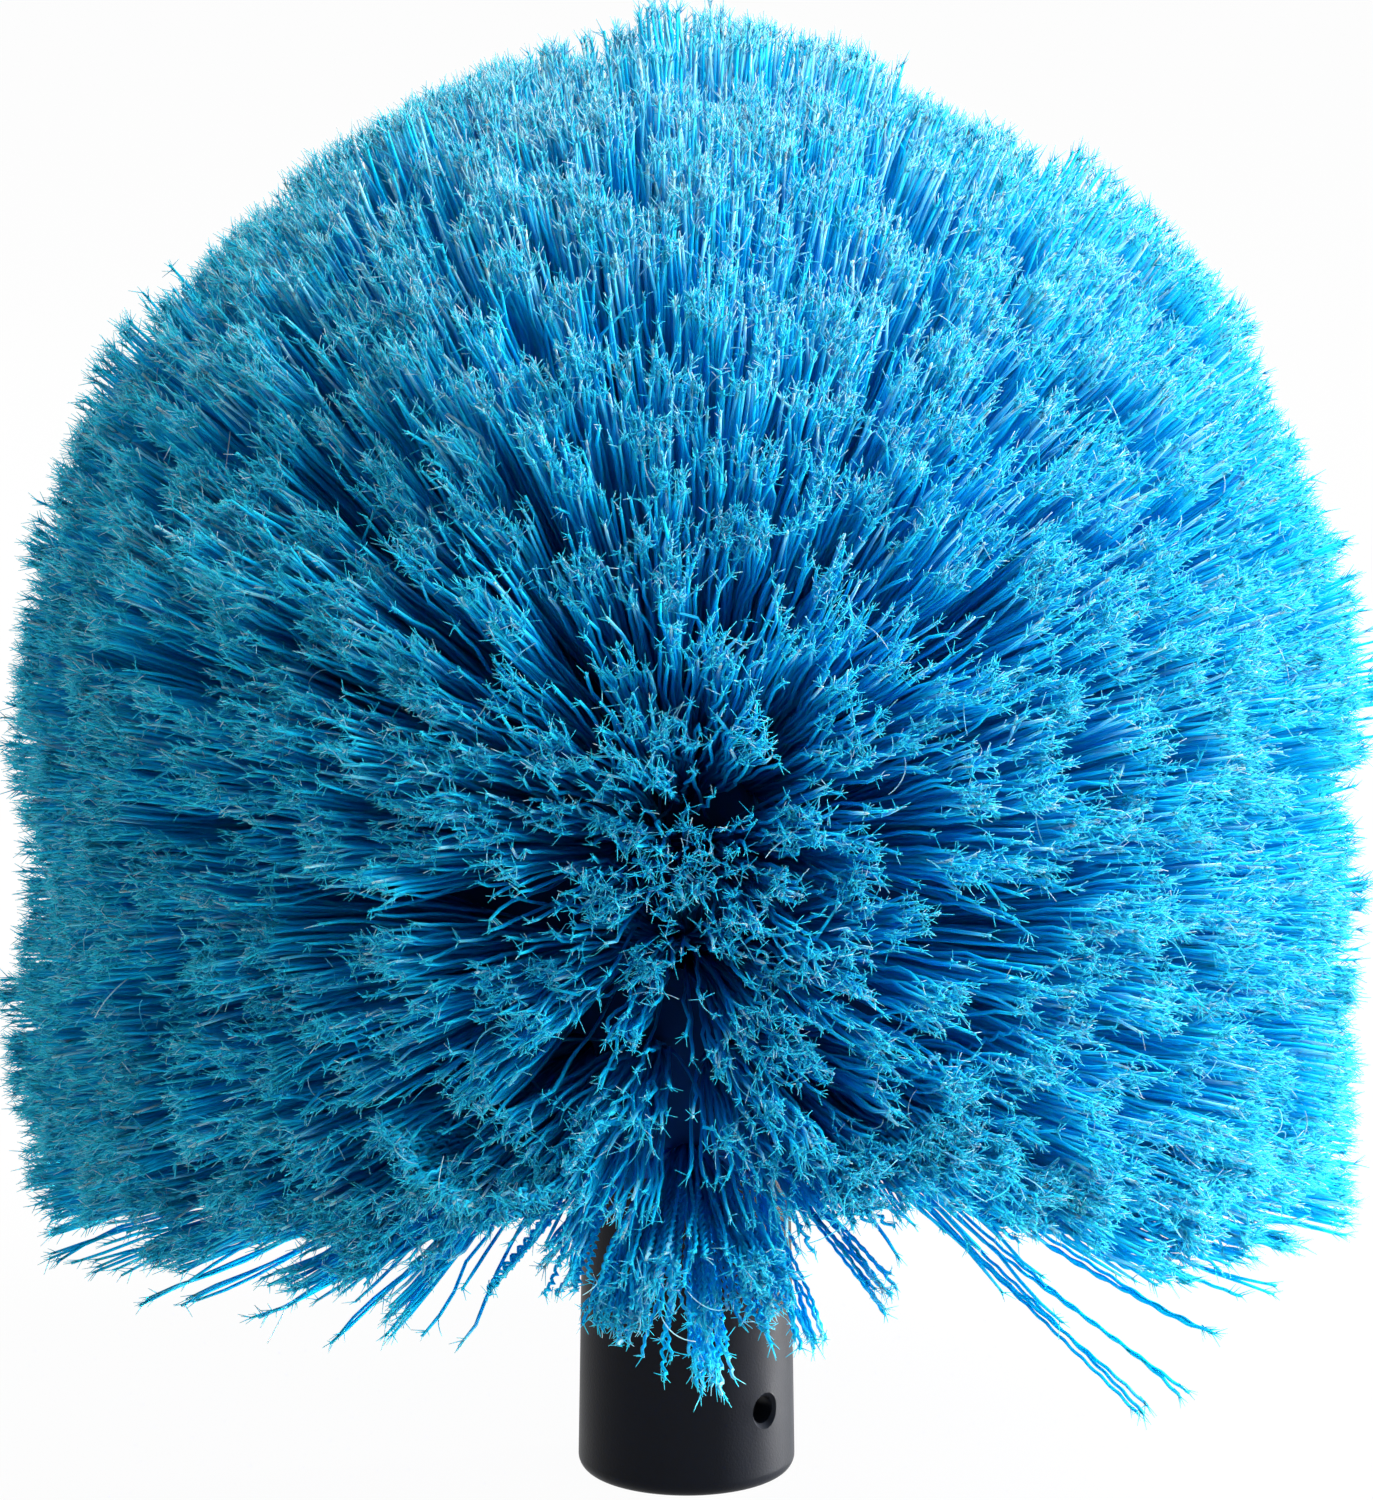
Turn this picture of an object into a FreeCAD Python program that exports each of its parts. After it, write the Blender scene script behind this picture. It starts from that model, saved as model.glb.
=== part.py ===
# Domed cobweb brush head: a black pole socket plugged into a bullet-shaped block, and rows of
# soft bristle tufts that radiate from the block and are trimmed to a dome with straight sides.
# Each tuft is folded over a steel anchor plate at the bottom of its own drilled hole.
# Millimetres and degrees. +Z runs up the pole's axis, and the origin is the centre of the socket's mouth.
import FreeCAD, Part
import math
import os

# Pole socket
MOUTH_RADIUS = 16.6          # outside, at the mouth, where the tube is widest
SOCKET_DRAFT = 1.0           # slope of the outside, narrowing upwards
SOCKET_LENGTH = 50.0         # mouth to the underside of the flange
MOUTH_ROUND = 2.2            # round on the outer edge of the mouth
BORE_RADIUS = 12.6           # takes a 25 mm pole
BORE_DEPTH = 47.0
BORE_LEAD_IN = 0.8           # chamfer at the mouth of the bore
CORE_RADIUS = 9.0            # moulding core above the bore
CORE_ROOF = 4.0              # wall over the core
FLANGE_RADIUS = 22.0
FLANGE_THICKNESS = 3.0
FLANGE_FILLET = 2.0          # between the tube and the flange
FLANGE_ROUND = 0.8           # on the flange's lower edge
SCREW_HOLE_RADIUS = 2.15     # for the screw that holds the pole
SCREW_HOLE_HEIGHT = 12.3
SCREW_HOLE_AZIMUTH = -43.0   # measured from +X
SCREW_SINK = 0.7             # width and depth of the countersink

# Snap joint between socket and block
SPIGOT_RADIUS = 18.0
SPIGOT_LENGTH = 24.0
SPIGOT_LEAD_IN = 1.2
BEAD_HEIGHT = 0.6            # how far the snap bead stands out of the spigot
BEAD_BELOW_TOP = 5.0
KEY_COUNT = 4                # keys stop the socket turning in the block
KEY_WIDTH = 4.0
KEY_HEIGHT = 1.6
KEY_LENGTH = 9.0
JOINT_CLEARANCE = 0.1        # all round the spigot, bead and keys
SPIGOT_END_GAP = 0.3

# Block
BLOCK_RADIUS = 38.0
BLOCK_DOME_LIFT = 55.0       # centre of the block's dome above the seat
UNDERSIDE_RADIUS = 26.0      # flat ring round the joint
UNDERSIDE_RISE = 3.0         # cone from the flat ring up to the side
CAVITY_RADIUS = 14.0         # hollow above the spigot

# Tuft pattern
TRIM_RADIUS = 100.0          # the bristles are trimmed to this radius
TRIM_DOME_LIFT = 69.0        # centre of the trimmed dome above the seat
SHOULDER_CUT = 3.2           # halfway up, the dome lies this far inside a half sphere
RIM_DROP = 3.0               # the middle of the lowest row's ends hangs this far below the seat
LOWEST_ROOT_LIFT = 5.6       # lowest row of holes above the seat
ROW_COUNT = 10               # rows from the rim up to the tuft on the crown
TUFTS_AROUND = 22            # tufts in each row on the straight side
FRONT_AZIMUTH = -90.0        # every other row, from the lowest up, has a tuft here

# Tuft, hole and anchor
HOLE_RADIUS = 2.7
HOLE_DEPTH = 11.0
TUFT_CLEARANCE = 0.1         # all round the tuft in its hole
FLARE_START = 2.0            # the tuft starts to spread this far outside its hole
STRANDS = 5                  # strands that each tuft parts into
STRAND_TIP_RADIUS = 7.4      # size of a strand's kite-shaped end, from its inner to its outer corner
STRAND_SPREAD = 4.6          # how far the strands' ends stand off the tuft's axis
TRIM_ALLOWANCE = 14.0        # length that the trimming takes off each tuft
END_STEP = 1.5               # a tuft's strands end unevenly, each this much short of another
ANCHOR_THICKNESS = 0.6
ANCHOR_HEIGHT = 2.2
ANCHOR_BITE = 0.4            # how far each end is pressed into the wall of the hole
FOLD_THICKNESS = 1.6         # bristle under the anchor, at the fold

X_AXIS = FreeCAD.Vector(1, 0, 0)
Y_AXIS = FreeCAD.Vector(0, 1, 0)
Z_AXIS = FreeCAD.Vector(0, 0, 1)
ORIGIN = FreeCAD.Vector(0, 0, 0)

# Heights that follow from the sizes above
SEAT = SOCKET_LENGTH + FLANGE_THICKNESS
SPIGOT_TOP = SEAT + SPIGOT_LENGTH
BEAD_LEVEL = SPIGOT_TOP - BEAD_BELOW_TOP
BLOCK_DOME_CENTRE = SEAT + BLOCK_DOME_LIFT
TRIM_DOME_CENTRE = SEAT + TRIM_DOME_LIFT
RIM_LEVEL = SEAT - RIM_DROP
LOWEST_ROOT = SEAT + LOWEST_ROOT_LIFT


def section_point(radius, height):
    """A point of a profile that is revolved about the pole's axis."""
    return FreeCAD.Vector(radius, 0, height)


def line(start, end):
    return Part.LineSegment(start, end).toShape()


def arc(start, middle, end):
    return Part.Arc(start, middle, end).toShape()


def corner_arc(centre, radius, start_angle, end_angle):
    """An arc about a centre in the profile's plane, by its angles from the radial direction."""
    points = []
    for angle in (start_angle, (start_angle + end_angle) / 2, end_angle):
        turn = math.radians(angle)
        offset = section_point(radius * math.cos(turn), radius * math.sin(turn))
        points.append(centre + offset)
    return arc(*points)


def revolve(edges):
    """Closes the gaps between the edges with straight lines and turns the profile about the axis."""
    chain = []
    for edge, following in zip(edges, edges[1:] + edges[:1]):
        chain.append(edge)
        end = edge.lastVertex().Point
        start = following.firstVertex().Point
        if end.distanceToPoint(start) > 1e-6:
            chain.append(line(end, start))
    return Part.Face(Part.Wire(chain)).revolve(ORIGIN, Z_AXIS, 360)


def bead_arc(radius, grow, upwards):
    """The half-round of the snap bead, or of its groove when it is grown by the clearance."""
    half_width = 2 * BEAD_HEIGHT
    low = section_point(radius, BEAD_LEVEL - half_width - grow)
    crest = section_point(radius + BEAD_HEIGHT, BEAD_LEVEL)
    high = section_point(radius, BEAD_LEVEL + half_width + grow)
    return arc(low, crest, high) if upwards else arc(high, crest, low)


def key_bars(clearance):
    """Bars for the keys on the spigot, or for the keyways when a clearance is given."""
    bars = []
    width = KEY_WIDTH + 2 * clearance
    depth = 2 * KEY_HEIGHT + clearance
    corner = FreeCAD.Vector(SPIGOT_RADIUS - KEY_HEIGHT, -width / 2, SEAT)
    for index in range(KEY_COUNT):
        bar = Part.makeBox(depth, width, KEY_LENGTH + clearance, corner)
        bar.rotate(ORIGIN, Z_AXIS, 360 * index / KEY_COUNT)
        bars.append(bar)
    return bars


def socket_radius(height):
    """Outside radius of the tapered tube."""
    return MOUTH_RADIUS - height * math.tan(math.radians(SOCKET_DRAFT))


def make_socket():
    """Tapered tube with a blind bore, a flange and a keyed snap spigot, in one moulding."""
    round_centre = section_point(socket_radius(MOUTH_ROUND) - MOUTH_ROUND, MOUTH_ROUND)
    fillet_level = SOCKET_LENGTH - FLANGE_FILLET
    fillet_centre = section_point(socket_radius(fillet_level) + FLANGE_FILLET, fillet_level)
    edge_centre = section_point(FLANGE_RADIUS - FLANGE_ROUND, SOCKET_LENGTH + FLANGE_ROUND)
    core_top = SPIGOT_TOP - CORE_ROOF
    body = revolve([
        line(section_point(BORE_RADIUS, BORE_LEAD_IN), section_point(BORE_RADIUS + BORE_LEAD_IN, 0)),
        corner_arc(round_centre, MOUTH_ROUND, -90, 0),
        corner_arc(fillet_centre, FLANGE_FILLET, 180, 90),
        corner_arc(edge_centre, FLANGE_ROUND, -90, 0),
        line(section_point(FLANGE_RADIUS, SEAT), section_point(SPIGOT_RADIUS, SEAT)),
        bead_arc(SPIGOT_RADIUS, 0, upwards=True),
        line(section_point(SPIGOT_RADIUS, SPIGOT_TOP - SPIGOT_LEAD_IN),
             section_point(SPIGOT_RADIUS - SPIGOT_LEAD_IN, SPIGOT_TOP)),
        line(section_point(0, SPIGOT_TOP), section_point(0, core_top)),
        line(section_point(CORE_RADIUS, core_top), section_point(CORE_RADIUS, BORE_DEPTH)),
        line(section_point(BORE_RADIUS, BORE_DEPTH), section_point(BORE_RADIUS, BORE_LEAD_IN)),
    ])
    return body.fuse(key_bars(0)).removeSplitter().cut(screw_hole())


def screw_hole():
    """Radial hole through the tube's wall, with its countersink."""
    radius = socket_radius(SCREW_HOLE_HEIGHT)
    level = section_point(0, SCREW_HOLE_HEIGHT)
    hole = Part.makeCylinder(SCREW_HOLE_RADIUS, radius + SCREW_SINK, level, X_AXIS)
    wide = SCREW_HOLE_RADIUS + 2 * SCREW_SINK
    sink_start = section_point(radius - SCREW_SINK, SCREW_HOLE_HEIGHT)
    sink = Part.makeCone(SCREW_HOLE_RADIUS, wide, 2 * SCREW_SINK, sink_start, X_AXIS)
    drill = hole.fuse(sink)
    drill.rotate(ORIGIN, Z_AXIS, SCREW_HOLE_AZIMUTH)
    return drill


def make_block_blank():
    """The bullet-shaped block with its keyed snap bore, before the tuft holes are drilled."""
    bore = SPIGOT_RADIUS + JOINT_CLEARANCE
    bore_top = SPIGOT_TOP + SPIGOT_END_GAP
    dome_centre = section_point(0, BLOCK_DOME_CENTRE)
    body = revolve([
        line(section_point(bore, SEAT), section_point(UNDERSIDE_RADIUS, SEAT)),
        line(section_point(BLOCK_RADIUS, SEAT + UNDERSIDE_RISE), section_point(BLOCK_RADIUS, BLOCK_DOME_CENTRE)),
        corner_arc(dome_centre, BLOCK_RADIUS, 0, 90),
        corner_arc(dome_centre, CAVITY_RADIUS, 90, 0),
        line(section_point(CAVITY_RADIUS, bore_top), section_point(bore, bore_top)),
        bead_arc(bore, JOINT_CLEARANCE, upwards=False),
    ])
    return body.cut(key_bars(JOINT_CLEARANCE))


class Row:
    """One ring of tufts: where its holes and bristle ends lie, and at which azimuths."""

    def __init__(self, index):
        side = TRIM_DOME_CENTRE - RIM_LEVEL
        along = index * (side + TRIM_RADIUS * math.pi / 2) / ROW_COUNT
        if along <= side:
            slope = 0.0
            root_level = LOWEST_ROOT + (BLOCK_DOME_CENTRE - LOWEST_ROOT) * along / side
            self.root = section_point(BLOCK_RADIUS, root_level)
            self.tip = section_point(TRIM_RADIUS, RIM_LEVEL + along)
        else:
            slope = (along - side) / TRIM_RADIUS
            radial = section_point(math.cos(slope), math.sin(slope))
            self.root = section_point(0, BLOCK_DOME_CENTRE) + radial * BLOCK_RADIUS
            self.tip = section_point(0, TRIM_DOME_CENTRE) + radial * TRIM_RADIUS
        self.on_crown = index == ROW_COUNT
        self.count = 1 if self.on_crown else round(TUFTS_AROUND * math.cos(slope))
        self.first_azimuth = FRONT_AZIMUTH + (index % 2) * 180 / self.count
        self.name = "crown" if self.on_crown else f"row_{index + 1:02d}"
        outward = self.tip - self.root
        self.length = HOLE_DEPTH + outward.Length
        outward.normalize()
        self.floor = self.root - outward * HOLE_DEPTH
        lean = math.degrees(math.atan2(outward.x, outward.z))
        self.placement = FreeCAD.Placement(self.floor, FreeCAD.Rotation(Y_AXIS, lean))

    def pattern(self, piece):
        """Copies of a piece, modelled along +Z from the bottom of its hole, all round the row."""
        copies = []
        for index in range(self.count):
            copy = piece.copy()
            copy.Placement = self.placement
            copy.rotate(ORIGIN, Z_AXIS, self.first_azimuth + 360 * index / self.count)
            copies.append(copy)
        return copies


def make_anchor():
    """Flat plate across the hole, held by its two ends."""
    width = 2 * (HOLE_RADIUS + ANCHOR_BITE)
    corner = FreeCAD.Vector(-ANCHOR_THICKNESS / 2, -width / 2, FOLD_THICKNESS)
    return Part.makeBox(ANCHOR_THICKNESS, width, ANCHOR_HEIGHT, corner)


def make_drill():
    """What each tuft takes out of the block: its hole and the bite of its anchor."""
    beyond_surface = HOLE_DEPTH + HOLE_RADIUS
    return Part.makeCylinder(HOLE_RADIUS, beyond_surface).fuse(make_anchor())


def polygon_face(corners):
    return Part.Face(Part.makePolygon(corners + corners[:1]))


def polar(radius, angle, height):
    return FreeCAD.Vector(radius * math.cos(angle), radius * math.sin(angle), height)


def frustum(lower, upper):
    """Solid between two polygons of one shape whose edges are parallel."""
    faces = [polygon_face(lower[::-1]), polygon_face(upper)]
    for index in range(len(lower)):
        faces.append(polygon_face([lower[index - 1], lower[index], upper[index], upper[index - 1]]))
    return Part.Solid(Part.Shell(faces))


def strand_section(index, radius, spread, height):
    """Kite that one strand takes of a bundle with as many corners as strands, moved off the bundle's axis."""
    half_turn = math.pi / STRANDS
    middle = 2 * half_turn * index
    inner = polar(spread, middle, height)
    flat = radius * math.cos(half_turn)
    return [
        inner,
        inner + polar(flat, middle - half_turn, 0),
        inner + polar(radius, middle, 0),
        inner + polar(flat, middle + half_turn, 0),
    ]


def make_trim(shortness):
    """The dome with straight sides that the bristles are trimmed to, drawn in where a strand ends short of it."""
    radius = TRIM_RADIUS - shortness
    halfway = (radius - SHOULDER_CUT) / math.sqrt(2)
    side = section_point(radius, TRIM_DOME_CENTRE)
    shoulder = section_point(halfway, TRIM_DOME_CENTRE + halfway)
    top = section_point(0, TRIM_DOME_CENTRE + radius)
    return revolve([
        line(section_point(0, 0), section_point(radius, 0)),
        arc(side, shoulder, top),
    ])


def make_tuft(row):
    """Bundle that fills its hole, folded over its anchor, and parts into strands with uneven ends."""
    root_radius = HOLE_RADIUS - TUFT_CLEARANCE
    parting = HOLE_DEPTH + FLARE_START
    end = row.length + TRIM_ALLOWANCE
    corners = [polar(root_radius, 2 * math.pi * index / STRANDS, 0) for index in range(STRANDS)]
    root = polygon_face(corners).extrude(Z_AXIS * parting)
    strands = []
    for index in range(STRANDS):
        lower = strand_section(index, root_radius, 0, parting)
        upper = strand_section(index, STRAND_TIP_RADIUS, STRAND_SPREAD, end)
        steps_short = 2 * index % STRANDS
        trim = make_trim(steps_short * END_STEP)
        trim.Placement = row.placement.inverse()
        strands.append(frustum(lower, upper).common(trim))
    return root.fuse(strands).removeSplitter().cut(make_anchor())


def export(name, solids):
    Part.makeCompound(solids).exportStep(f"parts/{name}.step")


def main():
    os.makedirs("parts", exist_ok=True)
    rows = [Row(index) for index in range(ROW_COUNT + 1)]
    drills = []
    for row in rows:
        drills += row.pattern(make_drill())
        export(f"bristles_{row.name}", row.pattern(make_tuft(row)))
        export(f"anchors_{row.name}", row.pattern(make_anchor()))
    export("block", make_block_blank().cut(drills).Solids)
    export("pole_socket", make_socket().Solids)


main()
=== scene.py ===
import math

import bpy
import numpy as np
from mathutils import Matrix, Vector


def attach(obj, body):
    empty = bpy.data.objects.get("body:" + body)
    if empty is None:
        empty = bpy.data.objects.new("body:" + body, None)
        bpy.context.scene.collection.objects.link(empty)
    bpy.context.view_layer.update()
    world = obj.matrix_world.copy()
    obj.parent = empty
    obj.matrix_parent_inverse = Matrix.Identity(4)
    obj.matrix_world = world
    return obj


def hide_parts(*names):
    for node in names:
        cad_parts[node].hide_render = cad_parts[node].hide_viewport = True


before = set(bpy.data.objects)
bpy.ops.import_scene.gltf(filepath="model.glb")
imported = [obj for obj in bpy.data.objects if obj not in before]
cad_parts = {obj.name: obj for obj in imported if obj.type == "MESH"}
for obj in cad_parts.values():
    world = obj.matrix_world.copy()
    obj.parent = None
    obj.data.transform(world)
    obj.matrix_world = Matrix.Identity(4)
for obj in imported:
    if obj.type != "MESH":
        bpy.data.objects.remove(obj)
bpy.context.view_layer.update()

# Tuft pattern, shared with the solids
TRIM_RADIUS = 0.100
TRIM_DOME_CENTRE = 0.122
RIM_LEVEL = 0.050
BLOCK_RADIUS = 0.038
BLOCK_DOME_CENTRE = 0.108
LOWEST_ROOT = 0.0586
ROW_COUNT = 10
TUFTS_AROUND = 22
FRONT_AZIMUTH = -math.pi / 2
HOLE_RADIUS = 0.0027
ROOT_SINK = 0.002            # the filaments start this far inside their hole
ROOT_SHARE = 0.9             # of the hole's radius that the roots fill
ROOT_TURN = 0.5              # standard deviation of a root's turn from the way that its filament leans

# Filaments of one tuft
BUNCHES = 9                  # that the filaments of a tuft gather into
BUNCH_FILAMENTS = 22
TUFT_HALF_WIDTH = 0.0142     # reach of a tuft's ends round the axis
TUFT_HALF_HEIGHT = 0.0130    # and along the meridian
TUFT_LEAN = 0.0028           # standard deviation of a whole tuft's ends
BUNCH_PLAY = 0.13            # of the bunches within their tuft, as a share of its reach
BUNCH_SPREAD = 0.0018        # standard deviation of the filaments' ends within a bunch
LOOSE_SHARE = 0.25           # filaments that leave their bunch
LOOSE_SPREAD = 0.0055
FILAMENT_RADIUS = 0.00030
END_TAPER = 0.75             # of the radius, at the filament's end
FLARE_POWER = 0.75           # how late the tuft opens
STRAIGHT_SHARE = 0.36        # of the length, from the root
STRAIGHT_RINGS = 2
CRIMP_PITCH = 0.0200
CRIMP_HEIGHT = 0.00035       # from the filament's middle to the crest
CRIMP_RINGS = 7
CLOSE_PITCH = 0.0038         # the close crimp that shows on single filaments, beside the socket
CLOSE_HEIGHT = 0.00042
CLOSE_RINGS = 60
CLOSE_PLACES = range(-1, 4)  # tufts of the rim that show it, by their place from the front
PITCH_SHARES = (0.85, 1.15)  # of the crimp's pitch, from bunch to bunch
BUNCH_CRIMPS = (0.2, 1.2)    # shares of the crimp's height, from bunch to bunch
FILAMENT_CRIMPS = (0.8, 1.2)  # and from filament to filament
PHASE_SPREAD = 0.35          # standard deviation of the crimp's phase within a bunch
CRIMP_FLATNESS = 0.35        # the crimp's height across its main plane, as a share
RING_CROWDING = 0.8          # below 1, the rings stand closer towards the end
WANDER = 0.0008              # slow sideways drift at the ends
WANDER_POWER = 1.5           # how late it sets in
WANDER_TURNS = (4.0, 10.0)   # radians that it swings through from root to end
SHORTFALL = 0.0014           # how far the ends stay inside the trim on average
SHOULDER_CUT = 0.0115        # the dome's shoulder stays inside by up to 0.38 of this as well
TUFT_LENGTH_SPREAD = 0.0013
BUNCH_LENGTH_SPREAD = 0.0015
FILAMENT_LENGTH_SPREAD = 0.0007
BEND_START = 0.86            # share of the length where the ends begin to turn aside
BEND_REACH = 0.0006          # sideways turn of a filament's end
BEND_FALL = 0.6              # how far a turned end falls back, as a share of its turn
HOOKED_SHARE = 0.03          # filaments whose end turns right over
HOOK_REACH = 0.0026

# Lowest level of the rim's ends, all round and in the tufts that hang otherwise, by place from the front
RIM_FLOOR = 0.0405
RIM_FLOORS = {-5: 0.0400, -4: 0.0455, -3: 0.0490, -2: 0.0500, -1: 0.0600, 0: 0.0395,
              1: 0.0640, 2: 0.0575, 3: 0.0440, 4: 0.0450, 5: 0.0390}
RIM_LIFT = 0.75              # below 1, fewer ends hang near the lowest level
RIM_ROUND = 0.0100           # the lowest level rises by this much to each side of a tuft
RIM_RANGE = 0.0100           # least height that a tuft's ends are spread over
# Locks that leave a rim tuft: turn from the tuft's middle, level of the ends, number of filaments
RIM_LOCKS = {-5: ((math.radians(-4.0), 0.0385, 2), (math.radians(2.0), 0.0375, 3)),
             -4: ((math.radians(-5.0), 0.0410, 1), (math.radians(1.0), 0.0430, 3),
                  (math.radians(6.0), 0.0445, 2)),
             -3: ((math.radians(-3.0), 0.0440, 2), (math.radians(4.0), 0.0465, 3)),
             -2: ((math.radians(-5.0), 0.0460, 3), (math.radians(2.0), 0.0455, 2)),
             -1: ((math.radians(6.5), 0.0565, 6), (math.radians(0.0), 0.0550, 3)),
             1: ((math.radians(-6.0), 0.0480, 11), (math.radians(0.5), 0.0545, 9)),
             3: ((math.radians(-6.7), 0.0315, 3), (math.radians(-1.9), 0.0320, 2),
                 (math.radians(2.0), 0.0380, 3)),
             4: ((math.radians(-3.0), 0.0400, 2),)}
LOCK_SPREAD = 0.0012
STRAND_FILAMENTS = 3         # a lock of no more filaments than this stays close together
STRAND_SPREAD = 0.0004

# Fine fibres that the filaments' ends split into, and the few long ones that curl off a tuft
FIBRES = 6
FIBRE_RADIUS = 0.00008
FIBRE_RINGS = 2
FIBRE_LENGTH = 0.0022
FIBRE_OVERLAP = 0.0022       # they leave the filament within this distance of its end
FIBRE_LEANS = (0.15, 0.75)   # angles off the filament
FIBRE_LENGTHS = (0.5, 1.3)   # shares of the length
FIBRE_CURLS = (0.1, 0.9)     # angles that they bend through
FIBRE_TAPER = (1.2, 0.5)     # shares of the radius, at the start and the end
FIBRE_MAP = (0.93, 1.0)      # where their ends lie on the bristles' map
SPLAYED_SHARE = 0.08         # fibres that stand well off
SPLAY = 2                    # how much farther these lean
STRAY_FIBRES = 7
STRAY_RADIUS = 0.00010
STRAY_RINGS = 9
STRAY_LENGTH = 0.0066
STRAY_LEANS = (0.3, 1.2)
STRAY_LENGTHS = (0.5, 1.4)
STRAY_CURLS = (0.4, 3.0)
STRAY_TAPER = (1.2, 0.8)
STRAY_MAP = (0.97, 1.0)
STRAY_PALENESS = 8.0         # how much more often they are pale than the side's filaments

TUFTS_PER_PIECE = 8
RIM_TUFTS_PER_PIECE = 2
LANES = 64                   # strips of the bristles' map, each with its own shade and paler than the last
LANE_MARGIN = 0.15           # of a lane, left free on each side
CAP_MAP_STEP = 0.01          # the caps of the tubes take up this much of the map's length
CROWN_HIGHLIGHT = 5.0             # how much more often the crown's filaments are pale than the side's, as painted highlight for the light on the top
SEED = 23
UPRIGHT = 0.9                # rise above which a direction's side axes come from X instead of Z

# Finishes: colours along a filament from root to end, shades of the lanes, then the other parts
# The deeper blue towards the roots is painted shade for the depths of the tufts; the paler, less blue ends
# are partly painted highlight for light through the thin ends.
BRISTLE_BLUES = [(0.0, (0.0003, 0.320, 0.980)), (0.50, (0.0004, 0.400, 0.985)),
                 (0.82, (0.0008, 0.430, 0.960)), (0.94, (0.0040, 0.450, 0.870)),
                 (1.0, (0.015, 0.455, 0.780))]
LANE_SHADES = [(0.0, (0.80, 0.88, 0.96)), (0.5, (0.95, 0.97, 0.99)), (1.0, (1.3, 1.06, 1.01))]
# Pale split ends: partly their own paler colour, partly painted highlight for light through the thin ends
PALE_END_AND_HIGHLIGHT = (0.46, 0.76, 0.86)
PALE_END_SLOPE = 7.0           # the pale ends set in over the last seventh of a filament
PALE_END_EDGE = 0.1            # softness of its upper end
PALE_POWER = 15.0            # how few lanes are pale
PALE_MOST = 0.9
BRISTLE_FINISH = {"Roughness": 0.6, "Specular IOR Level": 0.01,
                  "Sheen Weight": 0.25, "Sheen Roughness": 0.5, "Sheen Tint": (0.02, 0.60, 1.0, 1),
                  "Subsurface Weight": 0.8, "Subsurface Radius": (0.3, 0.7, 1.0),
                  "Subsurface Scale": 0.0011}
PLASTIC_FINISH = {"Specular IOR Level": 0.09}
GRAIN_DETAIL = 3.0
GRAIN_BUMP = (0.18, 0.0002)  # strength and depth
SOCKET_BLACK = (0.0045, 0.0055, 0.009)
SOCKET_WORN = (0.008, 0.010, 0.015)
SOCKET_ROUGHNESS = 0.42
SOCKET_GRAIN = 2600.0
# The block's blue is painted shade: it stands in for the deep blue shade seen between the tufts, where the
# block shows
BLOCK_SHADE_BLUE = (0.003, 0.060, 0.230)
BLOCK_WORN_SHADE_BLUE = (0.005, 0.075, 0.270)
BLOCK_ROUGHNESS = 0.75
BLOCK_GRAIN = 1800.0
MARK_SCALE = 60.0            # of the handling marks on the plastic
MARK_DETAIL = 5.0
MARK_SHARE = 0.5             # how far they go towards the worn colour
MARK_ROUGHNESS = 0.16        # how much they change the roughness
STEEL_FINISH = {"Metallic": 1.0, "Roughness": 0.35}
STEEL_SHADES = [(0.3, (0.42, 0.43, 0.45)), (0.7, (0.62, 0.63, 0.65))]
STEEL_STRETCH = (4000, 400, 400)
STEEL_DETAIL = 3.0
STEEL_BUMP = (0.1, 0.0001)

# Camera and light
VIEW_CENTRE_HEIGHT = 0.1120
VIEW_ELEVATION = math.radians(11.5)
VIEW_DISTANCE = 0.90
LENS = 144.2                 # millimetres
SENSOR_WIDTH = 36.0
CLIP_END = 20.0
WORLD_STRENGTH = 0.37
WORLD_SLANT = 0.33           # how much brighter the world is on the +X side
WORLD_COLOUR = (0.93, 0.96, 1.0, 1)
EYE_WHITE = 0.97             # how white the floor and the world look to the camera
FLOOR_HALF = 8.0
FLOOR_FINISH = {"Base Color": (0.80, 0.80, 0.80, 1), "Roughness": 0.9}
WHITE = (1, 1, 1, 1)


def unit(vectors):
    return vectors / np.linalg.norm(vectors, axis=-1, keepdims=True)


def side_axes(directions):
    """Two unit vectors square to each direction and to each other."""
    helper = np.where(np.abs(directions[..., 2:3]) < UPRIGHT, [[0.0, 0.0, 1.0]], [[1.0, 0.0, 0.0]])
    first = unit(np.cross(helper, directions))
    return first, np.cross(directions, first)


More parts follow.
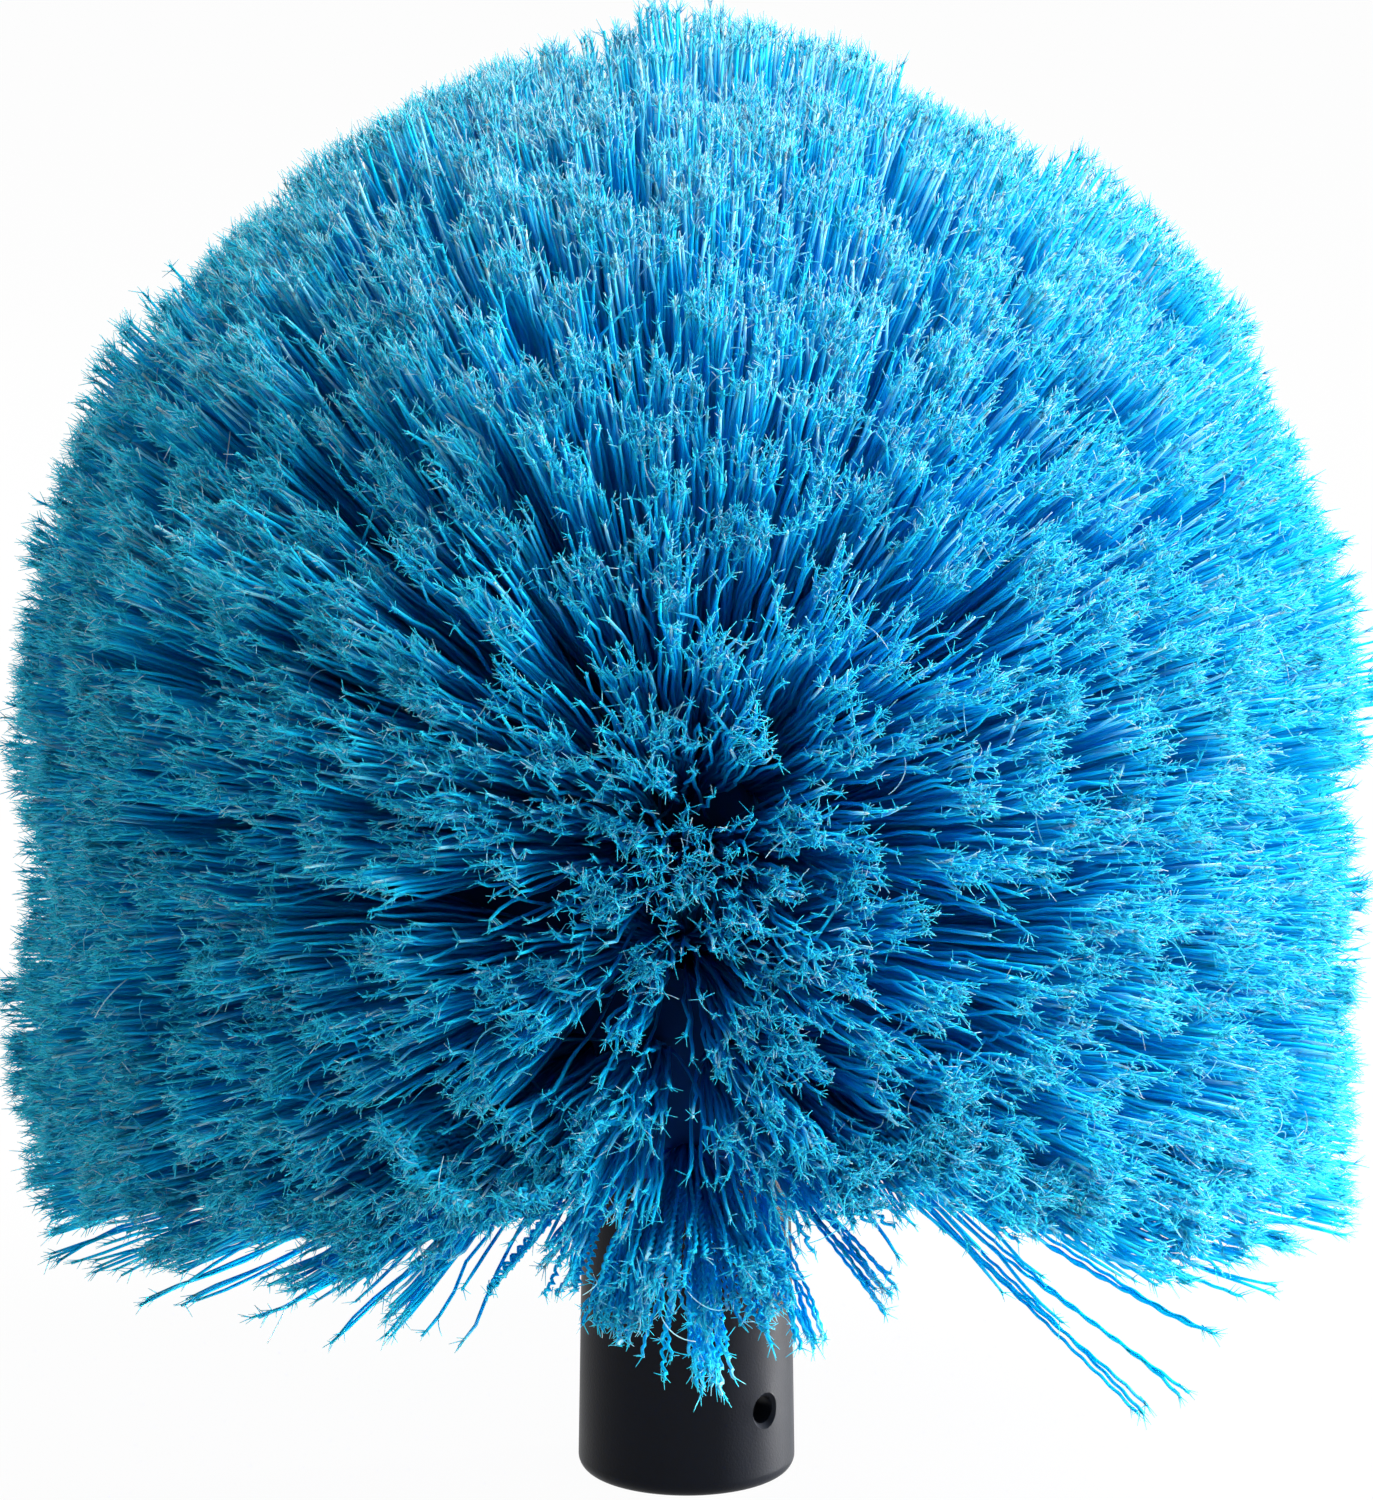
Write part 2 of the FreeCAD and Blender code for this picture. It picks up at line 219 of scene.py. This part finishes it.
class Row:
    """One ring of tufts, with the roots and the middles of the trimmed ends of its tufts."""

    def __init__(self, index):
        side = TRIM_DOME_CENTRE - RIM_LEVEL
        along = index * (side + TRIM_RADIUS * math.pi / 2) / ROW_COUNT
        slope = max(0.0, (along - side) / TRIM_RADIUS)
        if slope == 0:
            root_level = LOWEST_ROOT + (BLOCK_DOME_CENTRE - LOWEST_ROOT) * along / side
            root, tip = (BLOCK_RADIUS, root_level), (TRIM_RADIUS, RIM_LEVEL + along)
        else:
            outward = np.array([math.cos(slope), math.sin(slope)])
            root = outward * BLOCK_RADIUS + [0, BLOCK_DOME_CENTRE]
            tip = outward * TRIM_RADIUS + [0, TRIM_DOME_CENTRE]
        on_crown = index == ROW_COUNT
        self.count = 1 if on_crown else round(TUFTS_AROUND * math.cos(slope))
        self.node = "bristles_crown" if on_crown else f"bristles_row_{index + 1:02d}"
        self.azimuths = FRONT_AZIMUTH + 2 * math.pi * (np.arange(self.count) + (index % 2) / 2) / self.count
        self.roots = self.around(root)
        self.tips = self.around(tip)
        self.on_rim = index == 0
        self.shortfall = SHORTFALL + SHOULDER_CUT * math.sin(slope) ** 2 * math.cos(slope)
        # Paler ends towards the crown are painted highlight for the light on the top
        self.paleness = CROWN_HIGHLIGHT * math.sin(slope) ** 3

    def around(self, point):
        radius, height = point
        return np.stack([radius * np.cos(self.azimuths), radius * np.sin(self.azimuths),
                         np.full(self.count, height)], axis=1)

    def place_from_front(self, tuft):
        """Steps from the tuft that faces -Y, counted towards +X."""
        return (tuft + self.count // 2) % self.count - self.count // 2

    def crimp(self, tuft):
        """Pitch and height of a tuft's crimp, and the places of its rings as shares of the length."""
        close = self.on_rim and self.place_from_front(tuft) in CLOSE_PLACES
        crimped = np.linspace(0, 1, CLOSE_RINGS if close else CRIMP_RINGS) ** RING_CROWDING
        shares = np.concatenate([np.linspace(0, STRAIGHT_SHARE, STRAIGHT_RINGS, endpoint=False),
                                 STRAIGHT_SHARE + (1 - STRAIGHT_SHARE) * crimped])
        return (CLOSE_PITCH, CLOSE_HEIGHT, shares) if close else (CRIMP_PITCH, CRIMP_HEIGHT, shares)


def on_trim(points):
    """Points moved onto the dome with straight sides that the bristles are trimmed to."""
    below = np.minimum(points[:, 2:3], TRIM_DOME_CENTRE)
    centre = np.concatenate([np.zeros((len(points), 2)), below], axis=1)
    return centre + unit(points - centre) * TRIM_RADIUS


def bunch_pattern(rng):
    """Middles of a tuft's bunches, spread evenly over a unit disc with some play."""
    number = np.arange(BUNCHES) + 0.5
    radius = np.sqrt(number / BUNCHES)
    angle = number * math.pi * (3 - math.sqrt(5)) + rng.uniform(0, 2 * math.pi)
    middle = np.stack([radius * np.cos(angle), radius * np.sin(angle)], axis=1)
    return middle + rng.normal(0, BUNCH_PLAY, middle.shape)


def rim_ends(ends, across, azimuth, place, rng):
    """The rim's ends, drawn up to the lowest level of their tuft, with a few locks that leave it."""
    low, high = RIM_LEVEL - TUFT_HALF_HEIGHT, RIM_LEVEL + TUFT_HALF_HEIGHT
    floor = RIM_FLOORS.get(place, RIM_FLOOR) + RIM_ROUND * (across / TUFT_HALF_WIDTH) ** 2
    share = np.abs(ends[:, 2] - low) / (high - low)
    ends[:, 2] = floor + np.maximum(high - floor, RIM_RANGE) * share ** RIM_LIFT
    taken = 0
    for turn, level, filaments in RIM_LOCKS.get(place, ()):
        end = (TRIM_RADIUS * math.cos(azimuth + turn), TRIM_RADIUS * math.sin(azimuth + turn), level)
        spread = LOCK_SPREAD if filaments > STRAND_FILAMENTS else STRAND_SPREAD
        ends[taken:taken + filaments] = end + rng.normal(0, 1, (filaments, 3)) * spread
        taken += filaments
    return ends


def filament_ends(row, tuft, axis, round_axis, up_axis, rng):
    """Where one tuft's filaments end, and their places across the tuft."""
    azimuth, tip = row.azimuths[tuft], row.tips[tuft]
    bunch = np.repeat(np.arange(BUNCHES), BUNCH_FILAMENTS)
    spread = bunch_pattern(rng)[bunch] * [TUFT_HALF_WIDTH, TUFT_HALF_HEIGHT] + rng.normal(0, TUFT_LEAN, 2)
    loose = rng.uniform(0, 1, (len(bunch), 1)) < LOOSE_SHARE
    spread = spread + rng.normal(0, 1, spread.shape) * np.where(loose, LOOSE_SPREAD, BUNCH_SPREAD)
    ends = on_trim(tip + spread[:, :1] * round_axis + spread[:, 1:] * up_axis)
    if row.on_rim:
        ends = rim_ends(ends, spread[:, 0], azimuth, row.place_from_front(tuft), rng)
    change = (rng.normal(-row.shortfall, TUFT_LENGTH_SPREAD)
              + rng.normal(0, BUNCH_LENGTH_SPREAD, BUNCHES)[bunch]
              - np.abs(rng.normal(0, FILAMENT_LENGTH_SPREAD, len(bunch))))
    return ends + axis * change[:, None], spread


def together(values):
    """Each filament's value, which all the filaments of a bunch take from the first of them."""
    return np.repeat(values[::BUNCH_FILAMENTS], BUNCH_FILAMENTS, axis=0)


def filament_paths(row, tuft, rng):
    """Middle lines of one tuft's filaments, from hole to trim, and the rings' shares of their length."""
    root, azimuth = row.roots[tuft], row.azimuths[tuft]
    pitch, crimp_height, shares = row.crimp(tuft)
    axis = unit(row.tips[tuft] - root)
    round_axis = np.array([-math.sin(azimuth), math.cos(azimuth), 0])
    up_axis = np.cross(axis, round_axis)
    ends, spread = filament_ends(row, tuft, axis, round_axis, up_axis, rng)
    each = (len(ends), 1, 1)
    reach = HOLE_RADIUS * ROOT_SHARE * np.sqrt(rng.uniform(0, 1, (len(ends), 1)))
    turn = np.arctan2(spread[:, 1:], spread[:, :1]) + rng.normal(0, ROOT_TURN, (len(ends), 1))
    starts = root - axis * ROOT_SINK + reach * (np.cos(turn) * round_axis + np.sin(turn) * up_axis)
    chord = ends - starts
    length = np.linalg.norm(chord, axis=1)[:, None, None]
    forward = (chord @ axis)[:, None, None] * axis
    sideways = chord[:, None] - forward
    first, second = (axes[:, None] for axes in side_axes(unit(chord)))
    plane, phase, drift_turn, drift_phase, bend_turn = rng.uniform(0, 2 * math.pi, (5, *each))
    plane, phase = together(plane), together(phase) + rng.normal(0, PHASE_SPREAD, each)
    main = np.cos(plane) * first + np.sin(plane) * second
    cross = np.cos(plane) * second - np.sin(plane) * first
    along = shares[None, :, None]
    crimp = 2 * math.pi * along * length / (pitch * together(rng.uniform(*PITCH_SHARES, each))) + phase
    evenness = np.repeat(rng.uniform(*BUNCH_CRIMPS, BUNCHES), BUNCH_FILAMENTS)[:, None, None]
    evenness = evenness * rng.uniform(*FILAMENT_CRIMPS, each)
    height = np.clip(along / STRAIGHT_SHARE, 0, 1) * crimp_height * evenness
    drift = WANDER * along ** WANDER_POWER * np.sin(along * rng.uniform(*WANDER_TURNS, each) + drift_phase)
    hooked = rng.uniform(0, 1, each) < HOOKED_SHARE
    bend = np.clip((along - BEND_START) / (1 - BEND_START), 0, 1) ** 2
    bend_reach = bend * np.where(hooked, HOOK_REACH, BEND_REACH) * np.abs(rng.normal(0, 1, each))
    ahead = forward * (along - BEND_FALL * bend_reach / length)
    paths = starts[:, None] + ahead + sideways * along ** FLARE_POWER
    paths = paths + height * (np.cos(crimp) * main + CRIMP_FLATNESS * np.sin(crimp) * cross)
    for offset, angle in ((drift, drift_turn), (bend_reach, bend_turn)):
        paths = paths + offset * (np.cos(angle) * first + np.sin(angle) * second)
    return paths, shares


def any_side(directions, rng):
    """A unit vector square to each direction, turned about it by chance."""
    first, second = side_axes(directions)
    turn = rng.uniform(0, 2 * math.pi, (len(directions), 1))
    return np.cos(turn) * first + np.sin(turn) * second


def curling_paths(starts, ahead, lean, length, turn, rings, rng):
    """Arcs that leave their starts at an angle to the way ahead and bend through a turn."""
    leaving = np.cos(lean) * ahead + np.sin(lean) * any_side(ahead, rng)
    inward = any_side(leaving, rng)
    angle = turn[:, None] * np.linspace(0, 1, rings)[None, :, None]
    radius = (length / turn)[:, None]
    arc = np.sin(angle) * leaving[:, None] + (1 - np.cos(angle)) * inward[:, None]
    return starts[:, None] + radius * arc


def fibre_paths(paths, rng):
    """Middle lines of the short fibres that the filaments' ends split into."""
    paths = np.repeat(paths, FIBRES, axis=0)
    each = (len(paths), 1)
    ahead = unit(paths[:, -1] - paths[:, -2])
    starts = paths[:, -1] - ahead * FIBRE_OVERLAP * rng.uniform(0, 1, each)
    splayed = rng.uniform(0, 1, each) < SPLAYED_SHARE
    lean = rng.uniform(*FIBRE_LEANS, each) * np.where(splayed, SPLAY, 1)
    length = FIBRE_LENGTH * rng.uniform(*FIBRE_LENGTHS, each)
    curl = rng.uniform(*FIBRE_CURLS, each)
    return curling_paths(starts, ahead, lean, length, curl, FIBRE_RINGS, rng)


def stray_paths(paths, rng):
    """Middle lines of the long fibres that curl off a tuft's ends."""
    paths = paths[rng.integers(0, len(paths), STRAY_FIBRES)]
    each = (len(paths), 1)
    ahead = unit(paths[:, -1] - paths[:, -2])
    lean = rng.uniform(*STRAY_LEANS, each)
    length = STRAY_LENGTH * rng.uniform(*STRAY_LENGTHS, each)
    curl = rng.uniform(*STRAY_CURLS, each)
    return curling_paths(paths[:, -2], ahead, lean, length, curl, STRAY_RINGS, rng)


class TubeMesh:
    """Closed three-sided tubes, gathered from many paths and made into one mesh with its map."""

    def __init__(self):
        self.points, self.quads, self.caps, self.quad_maps, self.cap_maps = [], [], [], [], []
        self.size = 0

    def add(self, paths, radii, shares, paleness, rng):
        """Tubes along paths (tubes, rings, 3), with each ring's radius and its share of the length."""
        tubes, rings, _ = paths.shape
        lanes = np.floor(LANES * rng.uniform(0, 1, tubes) ** (1 / (1 + paleness)))
        first, second = side_axes(unit(paths[:, -1] - paths[:, 0]))
        turn = rng.uniform(0, 2 * math.pi, (tubes, 1, 1, 1))
        turn = turn + np.arange(3)[None, None, :, None] * 2 * math.pi / 3
        offset = np.cos(turn) * first[:, None, None] + np.sin(turn) * second[:, None, None]
        self.points.append((paths[:, :, None] + offset * radii[None, :, None, None]).reshape(-1, 3))
        index = self.size + np.arange(tubes * rings * 3).reshape(tubes, rings, 3)
        self.size += tubes * rings * 3
        following = np.roll(index, -1, axis=2)
        quads = np.stack([index[:, :-1], following[:, :-1], following[:, 1:], index[:, 1:]], axis=-1)
        self.quads.append(quads.reshape(-1, 4))
        self.caps.append(np.concatenate([index[:, 0, ::-1], index[:, -1]]).reshape(-1, 3))
        low = (lanes + LANE_MARGIN) / LANES
        edge = low[:, None] + np.arange(4)[None, :] * (1 - 2 * LANE_MARGIN) / 3 / LANES
        u = np.broadcast_to(shares[None, :, None], (tubes, rings, 3))
        v_low = np.broadcast_to(edge[:, None, :3], (tubes, rings, 3))
        v_high = np.broadcast_to(edge[:, None, 1:], (tubes, rings, 3))
        corners = [(u[:, :-1], v_low[:, :-1]), (u[:, :-1], v_high[:, :-1]),
                   (u[:, 1:], v_high[:, 1:]), (u[:, 1:], v_low[:, 1:])]
        places = np.stack([np.stack(corner, axis=-1) for corner in corners], axis=3)
        self.quad_maps.append(places.reshape(-1, 2))
        for ring, step in ((0, CAP_MAP_STEP), (-1, -CAP_MAP_STEP)):
            end = np.full(tubes, shares[ring])
            corners = [(end, edge[:, 0]), (end + step, edge[:, 1]), (end, edge[:, 3])]
            places = np.stack([np.stack(corner, axis=-1) for corner in corners], axis=1)
            self.cap_maps.append(places.reshape(-1, 2))

    def make(self, name):
        points = np.concatenate(self.points)
        quads = np.concatenate(self.quads)
        caps = np.concatenate(self.caps)
        corners = np.concatenate([quads.ravel(), caps.ravel()])
        starts = np.concatenate([np.arange(len(quads)) * 4, quads.size + np.arange(len(caps)) * 3])
        mesh = bpy.data.meshes.new(name)
        mesh.vertices.add(len(points))
        mesh.vertices.foreach_set("co", points.astype(np.float32).ravel())
        mesh.loops.add(len(corners))
        mesh.loops.foreach_set("vertex_index", corners.astype(np.int32))
        mesh.polygons.add(len(starts))
        mesh.polygons.foreach_set("loop_start", starts.astype(np.int32))
        mesh.polygons.foreach_set("use_smooth", np.ones(len(starts), bool))
        layer = mesh.uv_layers.new(name="OFBake")
        places = np.concatenate(self.quad_maps + self.cap_maps)
        layer.data.foreach_set("uv", places.astype(np.float32).ravel())
        mesh.update(calc_edges=True)
        mesh.validate()
        piece = bpy.data.objects.new(name, mesh)
        bpy.context.scene.collection.objects.link(piece)
        return piece


def make_bristles(material):
    """One piece for each few tufts of a row, so that none grows too heavy."""
    rng = np.random.default_rng(SEED)
    fibre_radii = FIBRE_RADIUS * np.linspace(*FIBRE_TAPER, FIBRE_RINGS)
    fibre_shares = np.linspace(*FIBRE_MAP, FIBRE_RINGS)
    stray_radii = STRAY_RADIUS * np.linspace(*STRAY_TAPER, STRAY_RINGS)
    stray_shares = np.linspace(*STRAY_MAP, STRAY_RINGS)
    for index in range(ROW_COUNT + 1):
        row = Row(index)
        pieces = math.ceil(row.count / (RIM_TUFTS_PER_PIECE if row.on_rim else TUFTS_PER_PIECE))
        meshes = [TubeMesh() for _ in range(pieces)]
        for tuft in range(row.count):
            mesh = meshes[tuft * pieces // row.count]
            paths, shares = filament_paths(row, tuft, rng)
            radii = np.full(len(shares), FILAMENT_RADIUS)
            radii[-1] = FILAMENT_RADIUS * END_TAPER
            mesh.add(paths, radii, shares, row.paleness, rng)
            mesh.add(fibre_paths(paths, rng), fibre_radii, fibre_shares, row.paleness, rng)
            mesh.add(stray_paths(paths, rng), stray_radii, stray_shares, STRAY_PALENESS, rng)
        for number, mesh in enumerate(meshes):
            piece = mesh.make(f"{row.node}_part_{number + 1}")
            piece.data.materials.append(material)
            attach(piece, "root")
            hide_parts(row.node)


class NodeTree:
    """Short forms for building the nodes of a material or of the world."""

    def __init__(self, owner):
        owner.use_nodes = True
        self.owner = owner
        self.nodes = owner.node_tree.nodes
        self.links = owner.node_tree.links
        self.shader = self.nodes.get("Principled BSDF") or self.nodes.get("Background")

    def set_inputs(self, values):
        """Sets inputs of the shader by their names."""
        for name, value in values.items():
            self.shader.inputs[name].default_value = value

    def add(self, kind, **values):
        node = self.nodes.new(kind)
        for key, value in values.items():
            setattr(node, key, value)
        return node

    def ramp(self, source, stops):
        node = self.add("ShaderNodeValToRGB")
        self.links.new(source, node.inputs["Fac"])
        elements = node.color_ramp.elements
        while len(elements) < len(stops):
            elements.new(0.5)
        for element, (position, colour) in zip(elements, stops):
            element.position = position
            element.color = (*colour, 1)
        return node.outputs["Color"]

    def math(self, operation, *values):
        node = self.add("ShaderNodeMath", operation=operation)
        for slot, value in enumerate(values):
            if isinstance(value, (int, float)):
                node.inputs[slot].default_value = value
            else:
                self.links.new(value, node.inputs[slot])
        return node.outputs[0]

    def noise(self, scale, detail, place):
        node = self.add("ShaderNodeTexNoise")
        node.inputs["Scale"].default_value = scale
        node.inputs["Detail"].default_value = detail
        self.links.new(place, node.inputs["Vector"])
        return node.outputs["Fac"]

    def object_place(self):
        return self.add("ShaderNodeTexCoord").outputs["Object"]

    def bump(self, height, strength, distance):
        node = self.add("ShaderNodeBump")
        node.inputs["Strength"].default_value = strength
        node.inputs["Distance"].default_value = distance
        self.links.new(height, node.inputs["Height"])
        self.links.new(node.outputs["Normal"], self.shader.inputs["Normal"])

    def mix(self, share, first, second, blend="MIX"):
        node = self.add("ShaderNodeMix", data_type="RGBA", blend_type=blend)
        for name, value in (("Factor", share), ("A", first), ("B", second)):
            sockets = [socket for socket in node.inputs if socket.name == name and socket.enabled]
            if isinstance(value, (int, float)):
                sockets[0].default_value = value
            elif isinstance(value, tuple):
                sockets[0].default_value = (*value, 1)
            else:
                self.links.new(value, sockets[0])
        return [socket for socket in node.outputs if socket.enabled][0]

    def white_to_the_eye(self, white, output):
        """Shows a white shader to the camera, also in reflections, and the tree's own to the rest."""
        rays = self.add("ShaderNodeLightPath")
        seen = self.math("MAXIMUM", rays.outputs["Is Camera Ray"], rays.outputs["Is Glossy Ray"])
        seen = self.math("MAXIMUM", seen, rays.outputs["Is Transmission Ray"])
        blend = self.add("ShaderNodeMixShader")
        self.links.new(self.math("MULTIPLY", seen, EYE_WHITE), blend.inputs["Fac"])
        self.links.new(self.shader.outputs[0], blend.inputs[1])
        self.links.new(white.outputs[0], blend.inputs[2])
        self.links.new(blend.outputs[0], self.nodes[output].inputs["Surface"])


def bristle_material():
    """Blue that deepens towards the root as painted shade and pales over the split ends, partly as painted
    highlight, different on each filament.
    """
    tree = NodeTree(bpy.data.materials.new("bristle"))
    place = tree.add("ShaderNodeUVMap", uv_map="OFBake").outputs["UV"]
    parts = tree.add("ShaderNodeSeparateXYZ")
    tree.links.new(place, parts.inputs[0])
    lane = tree.math("FLOOR", tree.math("MULTIPLY", parts.outputs["Y"], LANES))
    chance = tree.add("ShaderNodeTexWhiteNoise", noise_dimensions="1D")
    tree.links.new(lane, chance.inputs["W"])
    # deeper blue towards the roots: painted shade
    base = tree.ramp(parts.outputs["X"], BRISTLE_BLUES)
    shade = tree.ramp(chance.outputs["Value"], LANE_SHADES)
    colour = tree.mix(1.0, base, shade, "MULTIPLY")
    # pale split ends, partly painted highlight for light through them
    pale_end_mask = tree.math("MULTIPLY_ADD", parts.outputs["X"], PALE_END_SLOPE, 1 - PALE_END_SLOPE)
    pale_end_mask = tree.math("MAXIMUM", tree.math("SMOOTH_MIN", pale_end_mask, 1.0, PALE_END_EDGE), 0.0)
    pale = tree.math("MULTIPLY", tree.math("POWER", parts.outputs["Y"], PALE_POWER), PALE_MOST)
    colour = tree.mix(tree.math("MULTIPLY", pale_end_mask, pale), colour, PALE_END_AND_HIGHLIGHT)
    tree.links.new(colour, tree.shader.inputs["Base Color"])
    tree.set_inputs(BRISTLE_FINISH)
    return tree.owner


def moulded_material(name, colour, worn_colour, roughness, grain):
    """Moulded plastic with a fine grain and faint handling marks."""
    tree = NodeTree(bpy.data.materials.new(name))
    tree.set_inputs(PLASTIC_FINISH)
    place = tree.object_place()
    fine = tree.noise(grain, GRAIN_DETAIL, place)
    broad = tree.noise(MARK_SCALE, MARK_DETAIL, place)
    worn = tree.mix(tree.math("MULTIPLY", broad, MARK_SHARE), colour, worn_colour)
    tree.links.new(worn, tree.shader.inputs["Base Color"])
    uneven = tree.math("MULTIPLY_ADD", broad, MARK_ROUGHNESS, roughness - MARK_ROUGHNESS / 2)
    tree.links.new(uneven, tree.shader.inputs["Roughness"])
    tree.bump(fine, *GRAIN_BUMP)
    return tree.owner


def steel_material():
    """Plain cut strip with draw marks along the plate."""
    tree = NodeTree(bpy.data.materials.new("anchor_steel"))
    stretch = tree.add("ShaderNodeMapping")
    stretch.inputs["Scale"].default_value = STEEL_STRETCH
    tree.links.new(tree.object_place(), stretch.inputs["Vector"])
    marks = tree.noise(1.0, STEEL_DETAIL, stretch.outputs["Vector"])
    tree.links.new(tree.ramp(marks, STEEL_SHADES), tree.shader.inputs["Base Color"])
    tree.set_inputs(STEEL_FINISH)
    tree.bump(marks, *STEEL_BUMP)
    return tree.owner


def dress_solids():
    """New finishes for the solids that show as they are."""
    socket = moulded_material("socket_plastic", SOCKET_BLACK, SOCKET_WORN, SOCKET_ROUGHNESS, SOCKET_GRAIN)
    # the block's blue is painted shade for the gaps between the tufts
    block = moulded_material("block_plastic", BLOCK_SHADE_BLUE, BLOCK_WORN_SHADE_BLUE, BLOCK_ROUGHNESS, BLOCK_GRAIN)
    steel = steel_material()
    plastics = {"pole_socket": socket, "block": block}
    for name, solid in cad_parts.items():
        if not name.startswith("bristles"):
            solid.data.materials.clear()
            solid.data.materials.append(plastics.get(name, steel))


def make_camera():
    data = bpy.data.cameras.new("camera")
    data.lens = LENS
    data.sensor_width = SENSOR_WIDTH
    data.sensor_fit = "AUTO"
    data.clip_end = CLIP_END
    camera = bpy.data.objects.new("camera", data)
    away = Vector((0, -math.cos(VIEW_ELEVATION), math.sin(VIEW_ELEVATION)))
    camera.location = Vector((0, 0, VIEW_CENTRE_HEIGHT)) + away * VIEW_DISTANCE
    camera.rotation_euler = away.to_track_quat("Z", "Y").to_euler()
    bpy.context.scene.collection.objects.link(camera)
    bpy.context.scene.camera = camera


def make_lamp(name, place, target, size, power, colour, spread=math.pi):
    data = bpy.data.lights.new(name, "AREA")
    data.spread = spread
    data.shape = "ELLIPSE"
    data.size, data.size_y = size
    data.energy = power
    data.color = colour
    lamp = bpy.data.objects.new(name, data)
    lamp.location = place
    lamp.rotation_euler = (Vector(place) - Vector(target)).to_track_quat("Z", "Y").to_euler()
    bpy.context.scene.collection.objects.link(lamp)


def make_light():
    """A key from the upper right, a fill, a rim from the back left and a low lamp for the socket."""
    make_lamp("key", place=(0.90, -0.24, 1.08), target=(0, 0, 0.11), size=(1.4, 1.4),
              power=42.0, colour=(1.0, 0.985, 0.96))
    make_lamp("fill", place=(1.05, -0.95, 0.50), target=(0, 0, 0.10), size=(0.6, 0.6),
              power=6.0, colour=(0.96, 0.98, 1.0))
    make_lamp("rim", place=(-0.75, 0.85, 0.55), target=(0, 0, 0.12), size=(0.8, 0.8),
              power=4.0, colour=(1.0, 1.0, 1.0))
    make_lamp("low", place=(0.55, 0.19, 0.022), target=(0, 0, 0.014), size=(0.24, 0.035),
              power=0.20, colour=(1.0, 1.0, 1.0), spread=math.radians(12))


def make_world():
    """Even light from all round, a little stronger on the +X side."""
    tree = NodeTree(bpy.data.worlds.new("studio"))
    parts = tree.add("ShaderNodeSeparateXYZ")
    tree.links.new(tree.add("ShaderNodeTexCoord").outputs["Generated"], parts.inputs[0])
    strength = tree.math("MULTIPLY_ADD", parts.outputs["X"], WORLD_SLANT, WORLD_STRENGTH)
    tree.links.new(tree.math("MAXIMUM", strength, 0.0), tree.shader.inputs["Strength"])
    tree.set_inputs({"Color": WORLD_COLOUR})
    white = tree.add("ShaderNodeBackground")
    white.inputs["Color"].default_value = WHITE
    tree.white_to_the_eye(white, "World Output")
    bpy.context.scene.world = tree.owner


def make_floor():
    """Pale floor that the camera sees as white, with a soft shadow."""
    corners = [(-1, -1), (1, -1), (1, 1), (-1, 1)]
    mesh = bpy.data.meshes.new("floor")
    mesh.from_pydata([(x * FLOOR_HALF, y * FLOOR_HALF, 0) for x, y in corners], [], [(0, 1, 2, 3)])
    floor = bpy.data.objects.new("floor", mesh)
    bpy.context.scene.collection.objects.link(floor)
    tree = NodeTree(bpy.data.materials.new("floor"))
    tree.set_inputs(FLOOR_FINISH)
    white = tree.add("ShaderNodeEmission")
    white.inputs["Color"].default_value = WHITE
    tree.white_to_the_eye(white, "Material Output")
    mesh.materials.append(tree.owner)


make_bristles(bristle_material())
dress_solids()
make_camera()
make_light()
make_world()
make_floor()
bpy.context.scene.view_settings.view_transform = "Standard"
